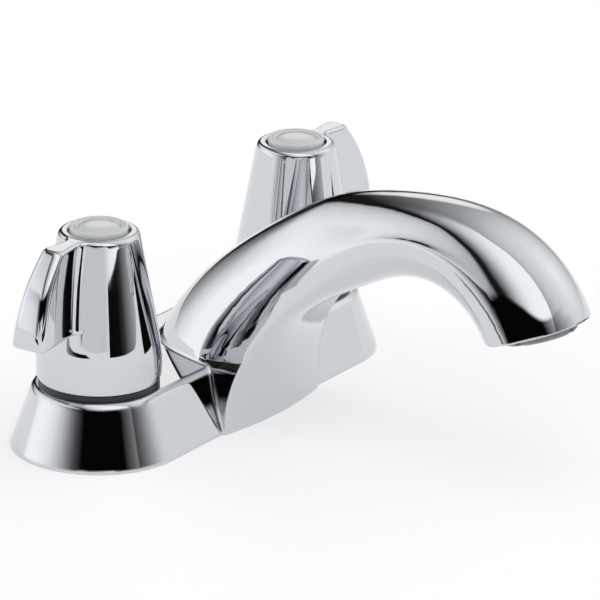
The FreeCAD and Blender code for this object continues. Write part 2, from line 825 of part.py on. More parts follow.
def make_mounting_nut(side):
    blank = padded(f"{side}_nut_blank", lambda sketch: hexagon(sketch, sheet.nut_across_corners),
                   sheet.nut_height)
    move(blank, 0.0, 0.0, nut_foot)
    thread = cylinder(f"{side}_nut_thread", sheet.thread_radius + sheet.thread_gap,
                      sheet.nut_height + sheet.past * 2, nut_foot - sheet.past)
    return node(on_side(cut(f"{side}_nut", blank, [thread]), side), f"{side}_mounting_nut")


# Handles, modelled with the blade along -X

def blade_half(height):
    """Return the blade's half width at this height, read off its straight taper."""
    share = (height - blade_foot) / (blade_top - blade_foot)
    return sheet.blade_foot_half + (sheet.blade_top_half - sheet.blade_foot_half) * share


def cone_radius(height):
    """Return the handle cone's radius at this height."""
    shoulder = handle_foot + sheet.skirt_height
    top = handle_top - sheet.rim_round
    share = (height - shoulder) / (top - shoulder)
    return sheet.shoulder_radius + (sheet.rim_radius - sheet.shoulder_radius) * share


def blade_plan(height):
    """Return the closed outline of the blade and its two root rounds at one height."""
    half = blade_half(height).value
    cone = cone_radius(height).value
    bend = sheet.blade_root_round.value
    tip = sheet.blade_foot_reach.value + sheet.past.value
    level = height.value
    arc_x = math.sqrt((cone + bend) ** 2 - (half + bend) ** 2)
    arc_y = half + bend
    touch = (arc_x * cone / (cone + bend), arc_y * cone / (cone + bend))
    lean = (math.atan2(arc_y, arc_x) + math.pi / 2) / 2
    middle = (arc_x - bend * math.cos(lean), arc_y - bend * math.sin(lean))

    def at(x, y):
        return FreeCAD.Vector(-x, y, level)

    inner = sheet.screw_radius.value
    upper = Part.Arc(at(*touch), at(*middle), at(arc_x, half))
    lower = Part.Arc(at(arc_x, -half), at(middle[0], -middle[1]), at(touch[0], -touch[1]))
    edges = [
        Part.LineSegment(at(inner, touch[1] * inner / touch[0]), at(*touch)),
        upper,
        Part.LineSegment(at(arc_x, half), at(tip, half)),
        Part.LineSegment(at(tip, half), at(tip, -half)),
        Part.LineSegment(at(tip, -half), at(arc_x, -half)),
        lower,
        Part.LineSegment(at(touch[0], -touch[1]), at(inner, -touch[1] * inner / touch[0])),
        Part.LineSegment(at(inner, -touch[1] * inner / touch[0]), at(inner, touch[1] * inner / touch[0])),
    ]
    return Part.Wire([edge.toShape() for edge in edges])


def make_blade(side):
    """Loft the blade between two plans and trim it with its side outline."""
    plans = [blade_plan(blade_foot), blade_plan(blade_top)]
    loft = shaped(f"{side}_blade_loft", Part.makeLoft(plans, True, True))

    def side_point(reach, height):
        return FreeCAD.Vector(-reach.value, 0, height.value)

    foot = side_point(sheet.blade_foot_reach, blade_foot)
    belly = side_point(sheet.blade_belly_reach, handle_top - sheet.blade_belly_drop)
    shoulder = side_point(sheet.blade_shoulder_reach, handle_top - sheet.blade_shoulder_drop)
    crown = side_point(sheet.blade_crown_reach, handle_top - sheet.blade_crown_drop)
    edge = Part.BSplineCurve()
    edge.interpolate(Points=[foot, belly, shoulder, crown], InitialTangent=FreeCAD.Vector(0, 0, 1))
    rim = FreeCAD.Vector(-sheet.rim_radius.value + sheet.rim_round.value, 0, blade_top.value)
    axis_top = FreeCAD.Vector(0, 0, blade_top.value)
    axis_foot = FreeCAD.Vector(0, 0, blade_foot.value)
    outline = Part.Wire([
        edge.toShape(),
        Part.LineSegment(crown, rim).toShape(),
        Part.LineSegment(rim, axis_top).toShape(),
        Part.LineSegment(axis_top, axis_foot).toShape(),
        Part.LineSegment(axis_foot, foot).toShape(),
    ])
    width = sheet.shoulder_radius.value
    slab = Part.Face(outline).extrude(FreeCAD.Vector(0, 2 * width, 0))
    slab.translate(FreeCAD.Vector(0, -width, 0))
    trim = shaped(f"{side}_blade_side", slab)
    blade = doc.addObject("Part::Common", f"{side}_blade")
    blade.Base = loft
    blade.Tool = trim
    return blade


def make_handle(side):
    shoulder = handle_foot + sheet.skirt_height
    belly = handle_foot + sheet.skirt_belly_height
    # straight cone over a bowed skirt, with a rounded rim
    knob = turned(f"{side}_knob", [
        (0, handle_foot),
        (sheet.skirt_lip_radius, handle_foot, sheet.skirt_bow),
        (sheet.shoulder_radius, shoulder),
        (sheet.rim_radius, handle_top - sheet.rim_round, sheet.rim_round),
        (sheet.rim_radius - sheet.rim_round, handle_top),
        (0, handle_top)])
    whole = fused(f"{side}_handle_solid", [knob, make_blade(side)])
    wall = sheet.handle_wall
    ceiling = recess_floor - sheet.handle_top_wall
    below = handle_foot - sheet.past
    hollow = turned(f"{side}_handle_hollow", [
        (sheet.boss_radius, below),
        (sheet.skirt_lip_radius - wall, below),
        (sheet.skirt_lip_radius - wall, belly),
        (sheet.shoulder_radius - wall, shoulder),
        (cone_radius(ceiling) - wall, ceiling),
        (sheet.boss_radius, ceiling)])
    foot_room = cylinder(f"{side}_boss_room", sheet.boss_radius + sheet.past,
                         sheet.boss_foot - below, below)
    broach = cylinder(f"{side}_broach", sheet.spline_radius + sheet.thread_gap,
                      sheet.stem_top + sheet.slip - sheet.boss_foot + sheet.past,
                      sheet.boss_foot - sheet.past)
    screw_hole = cylinder(f"{side}_screw_hole", sheet.screw_radius + sheet.thread_gap * 2,
                          handle_top - sheet.stem_top, sheet.stem_top)
    screw_recess = cylinder(f"{side}_screw_recess", sheet.screw_recess_radius,
                            sheet.screw_recess_depth + sheet.past, screw_floor)
    cap_recess = cylinder(f"{side}_cap_recess", sheet.cap_recess_radius,
                          sheet.cap_recess_depth + sheet.past, recess_floor)
    handle = cut(f"{side}_handle_cut", whole,
                 [hollow, foot_room, broach, screw_hole, screw_recess, cap_recess])
    return node(on_side(handle, side), f"{side}_handle")


def make_cap(side):
    top = recess_floor + sheet.cap_height
    edge = top - sheet.cap_crown
    solid = turned(f"{side}_cap", [
        (0, edge - sheet.cap_shell),
        (sheet.cap_radius - sheet.cap_shell, edge - sheet.cap_shell),
        (sheet.cap_radius - sheet.cap_shell, recess_floor),
        (sheet.cap_radius, recess_floor),
        (sheet.cap_radius, edge),
        (sheet.cap_radius - sheet.cap_crown, top),
        (0, top)])
    return node(on_side(solid, side), f"{side}_index_cap")


def make_handle_screw(side):
    head_top = screw_floor + sheet.screw_head_height
    foot = screw_floor - sheet.screw_length + sheet.thread_gap
    solid = turned(f"{side}_screw_turning", [
        (0, foot), (sheet.screw_radius, foot), (sheet.screw_radius, screw_floor),
        (sheet.screw_head_radius, screw_floor),
        (sheet.screw_head_radius, head_top - sheet.screw_head_bevel),
        (sheet.screw_head_radius - sheet.screw_head_bevel, head_top), (0, head_top)])
    slot_bar = doc.addObject("Part::Box", f"{side}_screw_slot")
    slot_bar.setExpression("Length", (sheet.screw_head_radius * 2 + sheet.past * 2).formula)
    slot_bar.setExpression("Width", (sheet.screw_radius / 2).formula)
    slot_bar.setExpression("Height", sheet.screw_head_height.formula)
    move(slot_bar, -sheet.screw_head_radius - sheet.past, -sheet.screw_radius / 4,
         head_top - sheet.screw_head_height / 2)
    return node(on_side(cut(f"{side}_screw", solid, [slot_bar]), side), f"{side}_handle_screw")


# Waterways

def make_feed_tube(side):
    wall_end = half_spacing - sheet.chamber_radius - sheet.slip * 3
    outer = cylinder_x(f"{side}_feed_outer", sheet.feed_radius, feed_foot, wall_end, feed_height)
    inner = cylinder_x(f"{side}_feed_inner", sheet.feed_bore, 0.0, half_spacing, feed_height)
    tube = cut(f"{side}_feed", outer, [inner])
    if side == "hot":
        tube.Placement = FreeCAD.Placement(FreeCAD.Vector(), FreeCAD.Rotation(180, 0, 0))
    return node(tube, f"{side}_feed_tube")


def make_tee():
    block = cylinder("tee_block", sheet.tee_radius, sheet.tee_top - gasket_top, gasket_top)
    arms = cylinder_x("tee_arms", sheet.tee_arm_radius, -sheet.tee_arm_reach,
                      sheet.tee_arm_reach, feed_height)
    sockets = [
        cylinder_x("tee_hot_socket", sheet.feed_radius + sheet.thread_gap,
                   -sheet.tee_arm_reach - sheet.past, -feed_foot, feed_height),
        cylinder_x("tee_cold_socket", sheet.feed_radius + sheet.thread_gap,
                   feed_foot, sheet.tee_arm_reach + sheet.past, feed_height),
        cylinder_x("tee_cross_bore", sheet.feed_bore, -sheet.tee_radius, sheet.tee_radius,
                   feed_height),
        cylinder("tee_spout_socket", sheet.spout_tube_radius + sheet.thread_gap,
                 sheet.tee_top - sheet.route0_height + sheet.past, sheet.route0_height),
        cylinder("tee_rise_bore", sheet.spout_tube_bore, sheet.tee_top - feed_height, feed_height),
    ]
    solid = fused("tee_solid", [block, arms])
    return node(cut("tee", solid, sockets), "mixing_tee")


def make_spout_tube():
    last = len(TUBE_ROUTE) - 1
    line = route_wire(0, last)
    outer = rod_along(line, sheet.spout_tube_radius.value)
    inner = rod_along(line, sheet.spout_tube_bore.value)
    return node(shaped("spout_waterway", outer.cut(inner)), "spout_tube")


# Aerator

def make_aerator():
    depth = sheet.outlet_bore_depth - sheet.aerator_washer_thickness
    length = depth + sheet.aerator_stand
    lip = sheet.aerator_lip
    bevel = sheet.aerator_bevel
    shell = turned("aerator_turning", [
        (sheet.aerator_bore, lip), (sheet.aerator_bore, length), (sheet.aerator_radius, length),
        (sheet.aerator_radius, bevel), (sheet.aerator_radius - bevel, 0), (sheet.aerator_bore - lip, 0),
        (sheet.aerator_bore - lip, lip)])
    notches = []
    for index in range(4):
        bar = doc.addObject("Part::Box", f"aerator_notch_{index}")
        bar.setExpression("Length", (sheet.aerator_radius * 2).formula)
        bar.setExpression("Width", sheet.aerator_notch_width.formula)
        bar.setExpression("Height", sheet.aerator_notch_depth.formula)
        quarter = FreeCAD.Rotation(90 * index, 0, 0)
        inside = sheet.aerator_radius.value - sheet.aerator_notch_depth.value
        out = FreeCAD.Vector(inside, -sheet.aerator_notch_width.value / 2, 0)
        bar.Placement = FreeCAD.Placement(quarter.multVec(out), quarter)
        notches.append(bar)
    housing = cut("aerator_shell", shell, notches)
    node(at_outlet(housing, -sheet.aerator_stand), "aerator_housing")
    insert = turned("aerator_core", [
        (0, lip), (sheet.aerator_bore - sheet.thread_gap, lip),
        (sheet.aerator_bore - sheet.thread_gap, length), (0, length)])
    doc.recompute()
    holes = [rod("aerator_hole_0", sheet.aerator_hole_radius, length + sheet.past)]
    for ring in range(1, int(sheet.aerator_hole_rings.value) + 1):
        count = 6 * ring
        reach = sheet.aerator_hole_pitch.value * ring
        for index in range(count):
            angle = 2 * math.pi * index / count
            hole = rod(f"aerator_hole_{ring}_{index}", sheet.aerator_hole_radius, length + sheet.past)
            hole.Placement.Base = FreeCAD.Vector(reach * math.cos(angle), reach * math.sin(angle), 0)
            holes.append(hole)
    node(at_outlet(cut("aerator_grid", insert, holes), -sheet.aerator_stand), "aerator_insert")
    washer = turned("aerator_seal", [
        (sheet.outlet_chamber_radius, 0), (sheet.aerator_radius, 0),
        (sheet.aerator_radius, sheet.aerator_washer_thickness),
        (sheet.outlet_chamber_radius, sheet.aerator_washer_thickness)])
    node(at_outlet(washer, depth), "aerator_washer")


make_cover()
make_gasket()
make_tee()
make_spout_tube()
make_aerator()
for side in ("hot", "cold"):
    make_valve_body(side)
    make_seat(side)
    make_spring(side)
    make_stem(side)
    make_stem_ring(side)
    make_bonnet_nut(side)
    make_trim_ring(side)
    make_washer(side)
    make_mounting_nut(side)
    make_feed_tube(side)
    make_handle(side)
    make_cap(side)
    make_handle_screw(side)
doc.recompute()

for item in doc.Objects:
    if "Invalid" in item.State or "Error" in item.State:
        raise RuntimeError(f"{item.Name} did not build: {item.State}")
for item in NODES:
    if item.Shape.isNull() or not item.Shape.isValid():
        raise RuntimeError(f"{item.Label} has no valid shape")
os.makedirs("parts", exist_ok=True)
for item in NODES:
    shape = item.Shape
    print(f"{item.Label:22s} solids {len(shape.Solids)} volume {shape.Volume:10.1f}")
    shape.exportStep(f"parts/{item.Label}.step")
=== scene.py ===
# %% [markdown]
# # A centerset bathroom faucet in bright chrome
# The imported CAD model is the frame: every rigid part comes in at its true size and place, in metres.
# This notebook gives each part its finish, adds the fine pieces that the CAD leaves out, and sets a
# plain studio round it.

# %% Load the frame
import math

import bpy
import numpy as np
from mathutils import Matrix


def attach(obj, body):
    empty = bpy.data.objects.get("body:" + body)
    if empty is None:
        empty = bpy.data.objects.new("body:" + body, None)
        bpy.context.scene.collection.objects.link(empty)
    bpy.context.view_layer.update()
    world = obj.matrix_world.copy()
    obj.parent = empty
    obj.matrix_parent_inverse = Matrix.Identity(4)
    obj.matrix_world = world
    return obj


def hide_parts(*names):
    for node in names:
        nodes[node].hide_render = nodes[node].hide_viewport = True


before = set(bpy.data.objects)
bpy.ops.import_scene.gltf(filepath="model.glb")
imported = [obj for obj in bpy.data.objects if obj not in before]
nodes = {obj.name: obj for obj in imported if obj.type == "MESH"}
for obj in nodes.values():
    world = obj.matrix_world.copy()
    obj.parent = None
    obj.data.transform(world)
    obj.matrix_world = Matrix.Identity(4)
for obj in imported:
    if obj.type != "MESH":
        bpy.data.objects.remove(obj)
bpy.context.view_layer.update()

# %% [markdown]
# ## The camera
# A product photograph like this one is taken from far away with a long lens, so that parallel edges
# stay nearly parallel. The camera stands 1.5 m off, to the user's left and a little above, and its
# slight roll is that of the photograph.

# %% Stand the camera
AZIMUTH, ELEVATION, ROLL = math.radians(-56.214), math.radians(20.096), math.radians(0.895)
CAMERA_PLACE = (-1.14589, -0.80314, 0.54185)
FOCAL_PIXELS = 4965.356
PHOTO_PIXELS = 600
SENSOR_WIDTH = 36.0


def camera_axes(azimuth, elevation, roll):
    """Right, up and back directions of a camera on a sphere, turned by roll about its line of sight."""
    back = np.array([math.sin(azimuth) * math.cos(elevation), -math.cos(azimuth) * math.cos(elevation),
                     math.sin(elevation)])
    right = np.array([math.cos(azimuth), math.sin(azimuth), 0.0])
    up = np.cross(back, right)
    return (math.cos(roll) * right + math.sin(roll) * up,
            -math.sin(roll) * right + math.cos(roll) * up, back)


lens = bpy.data.cameras.new("product_lens")
lens.sensor_width = SENSOR_WIDTH
lens.lens = FOCAL_PIXELS * SENSOR_WIDTH / PHOTO_PIXELS
lens.clip_start, lens.clip_end = 0.05, 20.0
camera = bpy.data.objects.new("product_camera", lens)
bpy.context.scene.collection.objects.link(camera)
right, up, back = camera_axes(AZIMUTH, ELEVATION, ROLL)
place = np.eye(4)
place[:3, 0], place[:3, 1], place[:3, 2], place[:3, 3] = right, up, back, CAMERA_PLACE
camera.matrix_world = Matrix(place.tolist())
bpy.context.scene.camera = camera
print("lens in mm:", round(lens.lens, 1))

# %% [markdown]
# ## Colours and nodes
# Every material here is a small graph of nodes. Written out one property at a time a graph is long and
# hard to read, so one function adds a node with its settings and its links, and another turns a colour
# as a painter would write it into the linear numbers that the renderer works with.

# %% Helpers for materials


def linear(hexa):
    """Linear red, green and blue and an alpha of 1, from an sRGB colour written as six hex digits."""
    parts = np.array([int(hexa[i:i + 2], 16) for i in (0, 2, 4)]) / 255.0
    value = np.where(parts <= 0.04045, parts / 12.92, ((parts + 0.055) / 1.055) ** 2.4)
    return (*value.tolist(), 1.0)


def add(tree, kind, inputs=(), out=0, **settings):
    """Add a node with its settings and return one of its outputs. inputs pairs an input's name or
    number with a value or with the socket that feeds it."""
    made = tree.nodes.new(kind)
    for name, value in settings.items():
        setattr(made, name, value)
    for key, value in dict(inputs).items():
        if isinstance(value, bpy.types.NodeSocket):
            tree.links.new(value, made.inputs[key])
        else:
            made.inputs[key].default_value = value
    return made.outputs[out] if made.outputs else made


# %% [markdown]
# ## The studio
# Polished chrome has almost no colour of its own: what the eye reads as chrome is the room in it. The
# reflections look like those of a white tent with a slot for the camera, and with one long dark gap
# between an overhead and a side light. The real room isn't known. Here the world's colour is such a
# tent, a function of direction alone, with its shades set until the reflections fell where the
# photograph has them. The camera sees plain white behind the object.

# %% The tent of light round the object
GAP_AZIMUTH, GAP_ELEVATION = math.radians(-30), math.radians(57)
GAP_BEND_FROM, GAP_BEND = 10.0, 0.25
TENT_LEVEL = 1.36
world = bpy.data.worlds.new("studio_tent")
bpy.context.scene.world = world
world.use_nodes = True
sky = world.node_tree
sky.nodes.clear()


def soft_band(tree, value, low, high, soft):
    """1 where value lies between low and high and 0 outside, with edges as wide as twice soft."""
    rise = add(tree, "ShaderNodeMapRange", {0: value, 1: low - soft, 2: low + soft},
               interpolation_type="SMOOTHSTEP")
    fall = add(tree, "ShaderNodeMapRange", {0: value, 1: high - soft, 2: high + soft, 3: 1.0, 4: 0.0},
               interpolation_type="SMOOTHSTEP")
    return add(tree, "ShaderNodeMath", {0: rise, 1: fall}, operation="MULTIPLY")


def shades(tree, value, low, high, stops):
    """Colour that follows stops, pairs of a place between low and high and a grey level or a hex colour."""
    share = add(tree, "ShaderNodeMapRange", {0: value, 1: low, 2: high})
    made = tree.nodes.new("ShaderNodeValToRGB")
    marks = made.color_ramp.elements
    while len(marks) < len(stops):
        marks.new(0.5)
    for mark, (place, level) in zip(marks, stops):
        mark.position = (place - low) / (high - low)
        mark.color = linear(level) if isinstance(level, str) else (level, level, level, 1.0)
    tree.links.new(share, made.inputs[0])
    return made.outputs[0]


way = add(sky, "ShaderNodeTexCoord", out="Generated")
parts = sky.nodes.new("ShaderNodeSeparateXYZ")
sky.links.new(way, parts.inputs[0])
azimuth = add(sky, "ShaderNodeMath", {0: parts.outputs[0], 1: parts.outputs[1]}, operation="ARCTAN2")
azimuth = add(sky, "ShaderNodeMath", {0: azimuth}, operation="DEGREES")
elevation = add(sky, "ShaderNodeMath", {0: parts.outputs[2]}, operation="ARCSINE")
elevation = add(sky, "ShaderNodeMath", {0: elevation}, operation="DEGREES")

# the gap is a straight slot, so its directions are a great circle, and a pole gives the angle over it;
# past its right end the slot turns down, which a stretch of the azimuth there brings about
past_bend = add(sky, "ShaderNodeMath", {0: azimuth, 1: GAP_BEND_FROM}, operation="SUBTRACT")
past_bend = add(sky, "ShaderNodeMath", {0: past_bend, 1: 0.0}, operation="MAXIMUM")
bent = add(sky, "ShaderNodeMath", {0: past_bend, 1: GAP_BEND, 2: azimuth}, operation="MULTIPLY_ADD")
bent = add(sky, "ShaderNodeMath", {0: bent}, operation="RADIANS")
flat = add(sky, "ShaderNodeMath", {0: parts.outputs[2], 1: parts.outputs[2]}, operation="MULTIPLY")
flat = add(sky, "ShaderNodeMath", {0: 1.0, 1: flat}, operation="SUBTRACT")
flat = add(sky, "ShaderNodeMath", {0: flat}, operation="SQRT")
aside = add(sky, "ShaderNodeMath", {0: bent}, operation="SINE")
aside = add(sky, "ShaderNodeMath", {0: aside, 1: flat}, operation="MULTIPLY")
ahead = add(sky, "ShaderNodeMath", {0: bent}, operation="COSINE")
ahead = add(sky, "ShaderNodeMath", {0: ahead, 1: flat}, operation="MULTIPLY")
bent_way = add(sky, "ShaderNodeCombineXYZ", {0: aside, 1: ahead, 2: parts.outputs[2]})
gap_pole = (-math.sin(GAP_AZIMUTH) * math.sin(GAP_ELEVATION),
            -math.cos(GAP_AZIMUTH) * math.sin(GAP_ELEVATION), math.cos(GAP_ELEVATION))
over = add(sky, "ShaderNodeVectorMath", {0: bent_way, 1: gap_pole}, out="Value", operation="DOT_PRODUCT")
over = add(sky, "ShaderNodeMath", {0: over}, operation="ARCSINE")
over = add(sky, "ShaderNodeMath", {0: over}, operation="DEGREES")
widen = add(sky, "ShaderNodeMapRange", {0: azimuth, 1: 5.0, 2: 38.0, 3: 1.0, 4: 0.34},
            interpolation_type="SMOOTHSTEP")
over = add(sky, "ShaderNodeMath", {0: over, 1: widen}, operation="MULTIPLY")
tent = shades(sky, over, -90.0, 90.0, (
    (-90.0, 1.0), (-45.0, 1.0), (-25.0, 0.85), (-9.0, 0.62), (-3.5, 0.45), (-1.5, 0.01), (1.5, 0.01),
    (8.0, 0.3), (16.0, 0.62), (30.0, 0.92), (45.0, 1.0), (90.0, 1.0)))

# behind the set, low on the right, the tent's side wall falls away to black
side = shades(sky, azimuth, -60.0, 120.0, (
    (-60.0, 1.0), (-22.0, 1.0), (-10.0, 0.8), (0.0, 0.62), (8.0, 0.45), (22.0, 0.29), (28.0, 0.19),
    (32.0, 0.03), (37.0, 0.03), (44.0, 0.4), (56.0, 0.9), (120.0, 1.0)))
low = soft_band(sky, elevation, -8.0, 17.0, 5.0)
shaded = add(sky, "ShaderNodeMix", {0: 1.0, 6: tent, 7: side}, out=2, data_type="RGBA", blend_type="MULTIPLY")
tent = add(sky, "ShaderNodeMix", {0: low, 6: tent, 7: shaded}, out=2, data_type="RGBA")

# the gap stops short of the horizon at its left end
at_end = soft_band(sky, azimuth, -140.0, -92.0, 10.0)
near_ground = add(sky, "ShaderNodeMapRange", {0: elevation, 1: 3.0, 2: 9.0, 3: 1.0, 4: 0.0},
                  interpolation_type="SMOOTHSTEP")
closed = add(sky, "ShaderNodeMath", {0: at_end, 1: near_ground}, operation="MULTIPLY")
tent = add(sky, "ShaderNodeMix", {0: closed, 6: tent, 7: linear("cccccc")}, out=2, data_type="RGBA")

# the slot for the camera: a dark stretch of the horizon round the line of sight. Its foot drops at both
# ends, and it fades out to either side, sooner to the right where it is high up. Round counts degrees
# from 0 to 360, so the slot isn't cut where the azimuth jumps from 180 to -180
behind = add(sky, "ShaderNodeMath", {0: azimuth, 1: 0.0}, operation="LESS_THAN")
round_way = add(sky, "ShaderNodeMath", {0: behind, 1: 360.0, 2: azimuth}, operation="MULTIPLY_ADD")
drop_near = add(sky, "ShaderNodeMapRange", {0: round_way, 1: 207.0, 2: 216.0, 3: -9.0, 4: 0.0},
                interpolation_type="SMOOTHSTEP")
drop_end = add(sky, "ShaderNodeMapRange", {0: round_way, 1: 256.0, 2: 268.0, 3: 0.0, 4: -14.0},
               interpolation_type="SMOOTHSTEP")
foot_shift = add(sky, "ShaderNodeMath", {0: drop_near, 1: drop_end}, operation="ADD")
slot_place = add(sky, "ShaderNodeMath", {0: elevation, 1: foot_shift}, operation="SUBTRACT")
above_foot = add(sky, "ShaderNodeMapRange", {0: slot_place, 1: 10.0, 2: 14.0},
                 interpolation_type="SMOOTHSTEP")
below_head = add(sky, "ShaderNodeMapRange", {0: elevation, 1: 25.0, 2: 29.0, 3: 1.0, 4: 0.0},
                 interpolation_type="SMOOTHSTEP")
slot = add(sky, "ShaderNodeMath", {0: above_foot, 1: below_head}, operation="MULTIPLY")
high = add(sky, "ShaderNodeMapRange", {0: elevation, 1: 13.0, 2: 23.0, 3: 0.0, 4: -12.0})
leaning = add(sky, "ShaderNodeMath", {0: round_way, 1: high}, operation="ADD")
around = shades(sky, leaning, 130.0, 340.0, (
    (140.0, 0.0), (152.0, 0.25), (162.0, 0.45), (173.0, 0.68), (186.0, 0.88), (197.0, 1.0), (254.0, 1.0),
    (266.0, 0.9), (278.0, 0.69), (290.0, 0.4), (302.0, 0.18), (325.0, 0.0)))
dark = add(sky, "ShaderNodeMath", {0: slot, 1: around}, operation="MULTIPLY")
tent = add(sky, "ShaderNodeMix", {0: dark, 6: tent, 7: linear("050506")}, out=2, data_type="RGBA")

# a small lamp behind the set, which the level tops of the base and the handles catch
LAMP_AZIMUTH, LAMP_ELEVATION = math.radians(57), math.radians(21)
lamp_way = (math.sin(LAMP_AZIMUTH) * math.cos(LAMP_ELEVATION),
            math.cos(LAMP_AZIMUTH) * math.cos(LAMP_ELEVATION), math.sin(LAMP_ELEVATION))
near_lamp = add(sky, "ShaderNodeVectorMath", {0: way, 1: lamp_way}, out="Value", operation="DOT_PRODUCT")
lamp = add(sky, "ShaderNodeMapRange",
           {0: near_lamp, 1: math.cos(math.radians(13)), 2: math.cos(math.radians(6))},
           interpolation_type="SMOOTHSTEP")
tent = add(sky, "ShaderNodeMix", {0: lamp, 6: tent, 7: linear("f0edea")}, out=2, data_type="RGBA")

seen = add(sky, "ShaderNodeLightPath", out="Is Camera Ray")
level = add(sky, "ShaderNodeMapRange", {0: seen, 3: TENT_LEVEL, 4: 1.0})
shown = add(sky, "ShaderNodeMix", {0: seen, 6: tent, 7: (1.0, 1.0, 1.0, 1.0)}, out=2, data_type="RGBA")
light = add(sky, "ShaderNodeBackground", {0: shown, 1: level})
add(sky, "ShaderNodeOutputWorld", {0: light})
bpy.context.scene.view_settings.view_transform = "Standard"
print("world nodes:", len(sky.nodes))

# %% [markdown]
# ## The table
# The tap stands on white paper, at the height of the basin's deck, so the shanks are below it. Paper is
# matt white; a little light of its own keeps it white in the picture, and it still takes the shadow.

# %% The white paper
bpy.ops.mesh.primitive_plane_add(size=6.0)
paper = bpy.context.object
paper.name = "paper"
paper_white = bpy.data.materials.new("white_paper")
paper_white.use_nodes = True
tree = paper_white.node_tree
tree.nodes.clear()
matt = add(tree, "ShaderNodeBsdfDiffuse", {0: linear("d8d8d8")})
glow = add(tree, "ShaderNodeEmission", {0: (1.0, 1.0, 1.0, 1.0), 1: 0.46})
both = add(tree, "ShaderNodeAddShader", {0: matt, 1: glow})
add(tree, "ShaderNodeOutputMaterial", {0: both})
paper.data.materials.append(paper_white)

# %% [markdown]
# ## The dark cards
# Chrome in a white tent needs something dark to reflect, or it looks like plaster. Out of the picture,
# dark cards stand and lie on the table. One upright and one flat draw the two black bands on the near
# handle, and one flat card shades the flank of the spout's tip. A card fades from black to light along
# its length. They are part of the set, like the paper, but only reflections show them: they leave the
# paper's light as it is.

# %% Three dark cards on the table
NEAR_HANDLE = (-0.0508, 0.0)
card_black = bpy.data.materials.new("dark_card")
card_black.use_nodes = True
tree = card_black.node_tree
shader = tree.nodes["Principled BSDF"]
along = add(tree, "ShaderNodeUVMap", out=0, uv_map="along")
length = tree.nodes.new("ShaderNodeSeparateXYZ")
tree.links.new(along, length.inputs[0])
fibre = add(tree, "ShaderNodeTexNoise", {"Vector": along, "Scale": 400.0, "Detail": 3.0}, out=0)
printed = add(tree, "ShaderNodeMath", {0: fibre, 1: 0.01, 2: length.outputs[0]}, operation="MULTIPLY_ADD")
fade = shades(tree, printed, 0.0, 1.0, (
    (0.0, 0.004), (0.36, 0.006), (0.5, 0.05), (0.62, 0.2), (0.8, 0.42), (1.0, 0.7)))
tree.links.new(fade, shader.inputs["Base Color"])
shader.inputs["Roughness"].default_value = 0.9
shader.inputs["Specular IOR Level"].default_value = 0.0
SPOUT_TIP = (0.0, -0.122)
# for each card: the point it is turned about, the shade at its far end, and its corners as azimuth in
# degrees, distance and height in metres
CARDS = {
    "upright_card": (NEAR_HANDLE, 1.0, [(-146.0, 0.55, 0.001), (-207.0, 0.55, 0.001), (-207.0, 0.55, 0.0585),
                                        (-146.0, 0.55, 0.0585)]),
    "flat_card": (NEAR_HANDLE, 0.3, [(146.0, 0.19, 0.001), (146.0, 0.62, 0.001), (124.0, 0.62, 0.001),
                                     (124.0, 0.19, 0.001)]),
    "card_by_the_tip": (SPOUT_TIP, 0.9, [(-96.0, 0.5, 0.001), (-58.0, 0.5, 0.001), (-58.0, 1.0, 0.001),
                                         (-96.0, 1.0, 0.001)]),
}
for name, (centre, shade_end, marks) in CARDS.items():
    turn, away, height = np.array(marks).T
    turn = np.radians(turn)
    corners = np.stack([centre[0] + away * np.sin(turn), centre[1] + away * np.cos(turn), height], axis=1)
    mesh = bpy.data.meshes.new(name)
    mesh.from_pydata(corners.tolist(), [], [(0, 1, 2, 3)])
    layer = mesh.uv_layers.new(name="along")
    layer.data.foreach_set("uv", [0.0, 0.0, shade_end, 0.0, shade_end, 1.0, 0.0, 1.0])
    mesh.materials.append(card_black)
    card = bpy.data.objects.new(name, mesh)
    bpy.context.scene.collection.objects.link(card)
    card.visible_camera = card.visible_diffuse = False
    card.visible_shadow = card.visible_transmission = False
print("dark cards:", len(CARDS))

# %% [markdown]
# ## Chrome
# The visible casting and the handles are zinc with bright chrome over nickel. The plate takes a mirror
# polish, so it shows the tent and the other parts of the tap, a little darker at each reflection. No
# cast edge is sharp: buffing rounds each one, and the rounding draws a thin line of compressed room
# along it, which is what makes the edge readable.

# %% Chrome plate with buffed edges
EDGE_RADIUS, RIB_RADIUS, FLANK_RADIUS = 0.0008, 0.0018, 0.0026


def principled(name, **inputs):
    """A material whose Principled shader has these values on its own sockets."""
    made = bpy.data.materials.new(name)
    made.use_nodes = True
    shader = made.node_tree.nodes["Principled BSDF"]
    for key, value in inputs.items():
        shader.inputs[key.replace("_", " ")].default_value = value
    return made


def object_place(tree):
    """The x, y and z of a point in its own object, in metres."""
    place = add(tree, "ShaderNodeTexCoord", out="Object")
    split = tree.nodes.new("ShaderNodeSeparateXYZ")
    tree.links.new(place, split.inputs[0])
    return place, split.outputs


